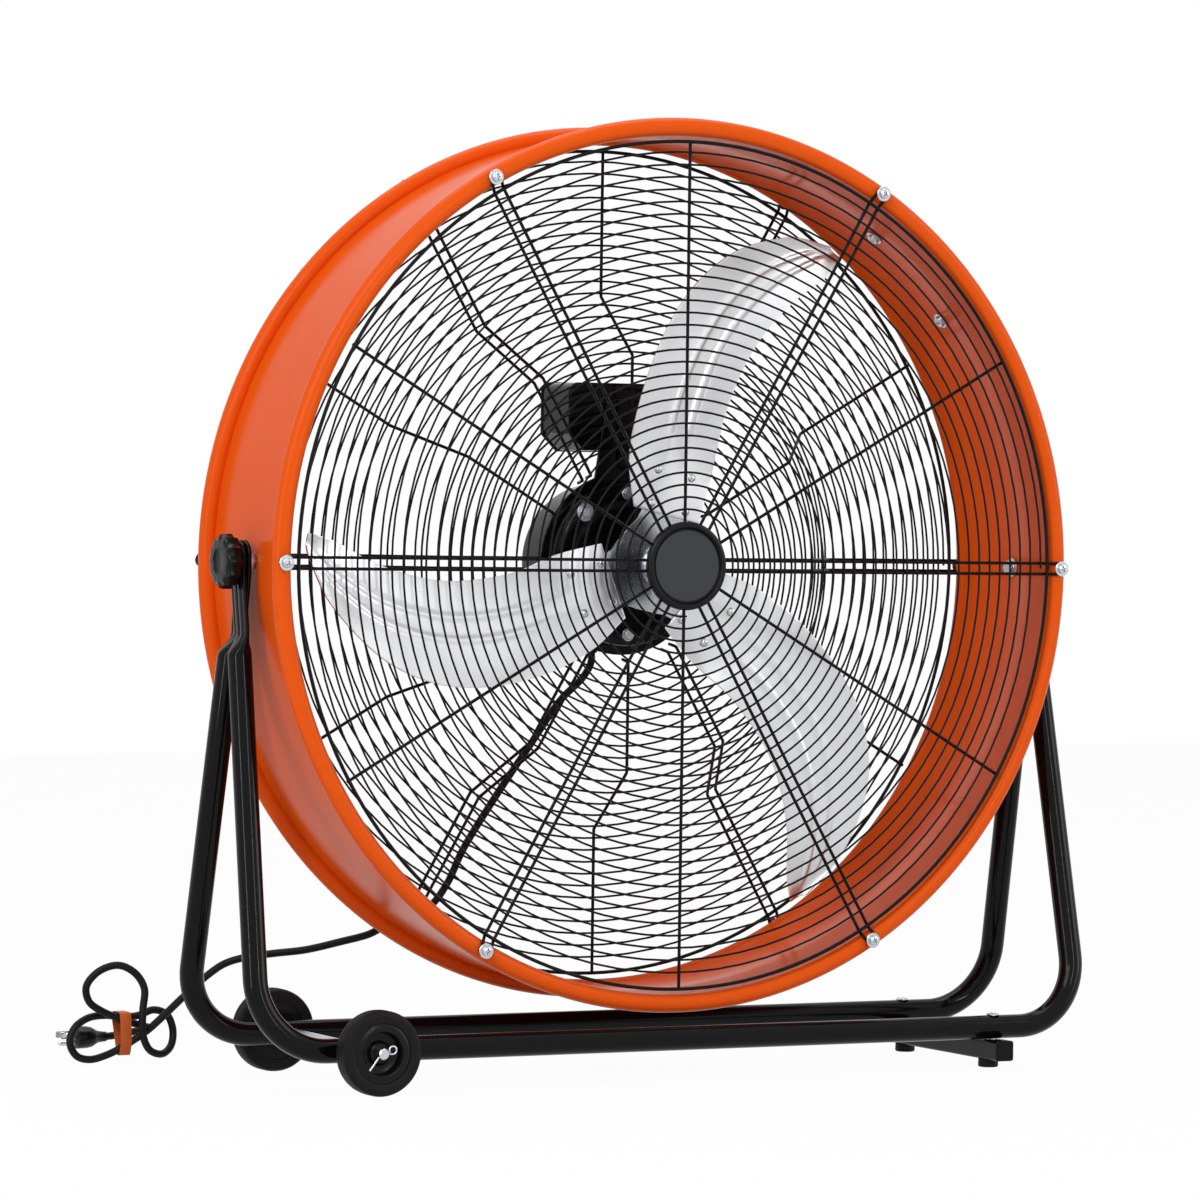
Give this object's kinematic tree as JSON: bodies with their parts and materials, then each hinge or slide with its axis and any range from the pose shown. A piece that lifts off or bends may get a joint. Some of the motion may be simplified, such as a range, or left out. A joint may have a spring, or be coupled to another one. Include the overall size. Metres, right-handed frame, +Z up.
{
  "type": "drum fan",
  "caption": "Floor drum fan: a round sheet-metal drum with wire grilles and an axial rotor, tilting between two bent tubes on a stand with wheels and feet.",
  "frame": {"origin": "on the floor, straight below the middle of the tilt axis", "axes": "+Z up, -Y the way the air blows at rest, +X to the right seen from the front, along the tilt axis"},
  "size_m": [0.9099, 0.4065, 0.8752],
  "materials": {
    "orange_paint": "glossy orange powder coat",
    "black_enamel": "glossy black powder coat",
    "black_wire": "semi-gloss black coated steel wire",
    "aluminium": "satin rolled sheet",
    "zinc_steel": "zinc plated",
    "black_plastic": "fine moulded texture",
    "grey_plastic": "satin dark grey",
    "black_rubber": "matte",
    "cord_jacket": "satin jacket",
    "tie_paper": "plastic-coated twist band"
  },
  "bodies": {
    "stand": {"front_tube": "black_enamel", "rear_tube": "black_enamel", "foot_bar": "black_enamel", "foot_pad_front": "black_rubber", "foot_pad_rear": "black_rubber", "bar_screw_front": "zinc_steel", "bar_screw_rear": "zinc_steel", "axle": "zinc_steel", "split_pin_front": "zinc_steel", "split_pin_rear": "zinc_steel", "cord_lead": "cord_jacket", "cord_bundle": "cord_jacket", "cord_tie": "tie_paper", "plug": "black_plastic"},
    "drum": {"drum_shell": "orange_paint", "front_grille_spokes": "black_wire", "front_grille_spiral": "black_wire", "rear_grille_spokes": "black_wire", "rear_grille_spiral": "black_wire", "centre_badge": "grey_plastic", "front_screw_1": "zinc_steel", "front_screw_2": "zinc_steel", "front_screw_3": "zinc_steel", "front_screw_4": "zinc_steel", "front_screw_5": "zinc_steel", "front_screw_6": "zinc_steel", "rear_screw_1": "zinc_steel", "rear_screw_2": "zinc_steel", "rear_screw_3": "zinc_steel", "rear_screw_4": "zinc_steel", "rear_screw_5": "zinc_steel", "rear_screw_6": "zinc_steel", "motor_end_bell": "black_enamel", "motor_plate": "black_enamel", "motor_housing": "black_enamel", "motor_bolt_1": "zinc_steel", "motor_bolt_2": "zinc_steel", "motor_bolt_3": "zinc_steel", "switch_box": "black_enamel", "switch_box_cover": "black_plastic", "carry_handle": "black_enamel", "handle_bolt_1": "zinc_steel", "handle_bolt_2": "zinc_steel", "pivot_bolt_left": "zinc_steel", "pivot_bolt_right": "zinc_steel", "cable_gland": "black_plastic", "cord_on_grille": "cord_jacket", "cord_clip": "zinc_steel"},
    "rotor": {"motor_shaft": "zinc_steel", "hub_spider": "zinc_steel", "blade_1": "aluminium", "blade_2": "aluminium", "blade_3": "aluminium"},
    "speed_switch": {"speed_knob": "black_plastic"},
    "left_knob": {"knob_left": "black_plastic"},
    "right_knob": {"knob_right": "black_plastic"},
    "front_wheel": {"tyre_front": "black_rubber", "wheel_front": "black_plastic"},
    "rear_wheel": {"tyre_rear": "black_rubber", "wheel_rear": "black_plastic"}
  },
  "joints": [
    {"name": "drum_tilt", "type": "hinge", "parent": "stand", "child": "drum", "pos_m": [0, 0, 0.468], "axis": [1, 0, 0], "range_deg": [-35, 35], "deforming": ["cord_lead"]},
    {"name": "rotor_spin", "type": "hinge", "parent": "drum", "child": "rotor", "pos_m": [0, 0, 0.468], "axis": [0, 1, 0], "continuous": true},
    {"name": "speed_knob_turn", "type": "hinge", "parent": "drum", "child": "speed_switch", "pos_m": [0, 0.112, 0.6045], "axis": [0, 1, 0], "range_deg": [0, 135]},
    {"name": "left_knob_turn", "type": "hinge", "parent": "drum", "child": "left_knob", "pos_m": [-0.42, 0, 0.468], "axis": [1, 0, 0], "range_deg": [-180, 180]},
    {"name": "right_knob_turn", "type": "hinge", "parent": "drum", "child": "right_knob", "pos_m": [0.42, 0, 0.468], "axis": [1, 0, 0], "range_deg": [-180, 180]},
    {"name": "front_wheel_spin", "type": "hinge", "parent": "stand", "child": "front_wheel", "pos_m": [-0.321, -0.115, 0.038], "axis": [0, 1, 0], "continuous": true},
    {"name": "rear_wheel_spin", "type": "hinge", "parent": "stand", "child": "rear_wheel", "pos_m": [-0.321, 0.115, 0.038], "axis": [0, 1, 0], "continuous": true}
  ]
}
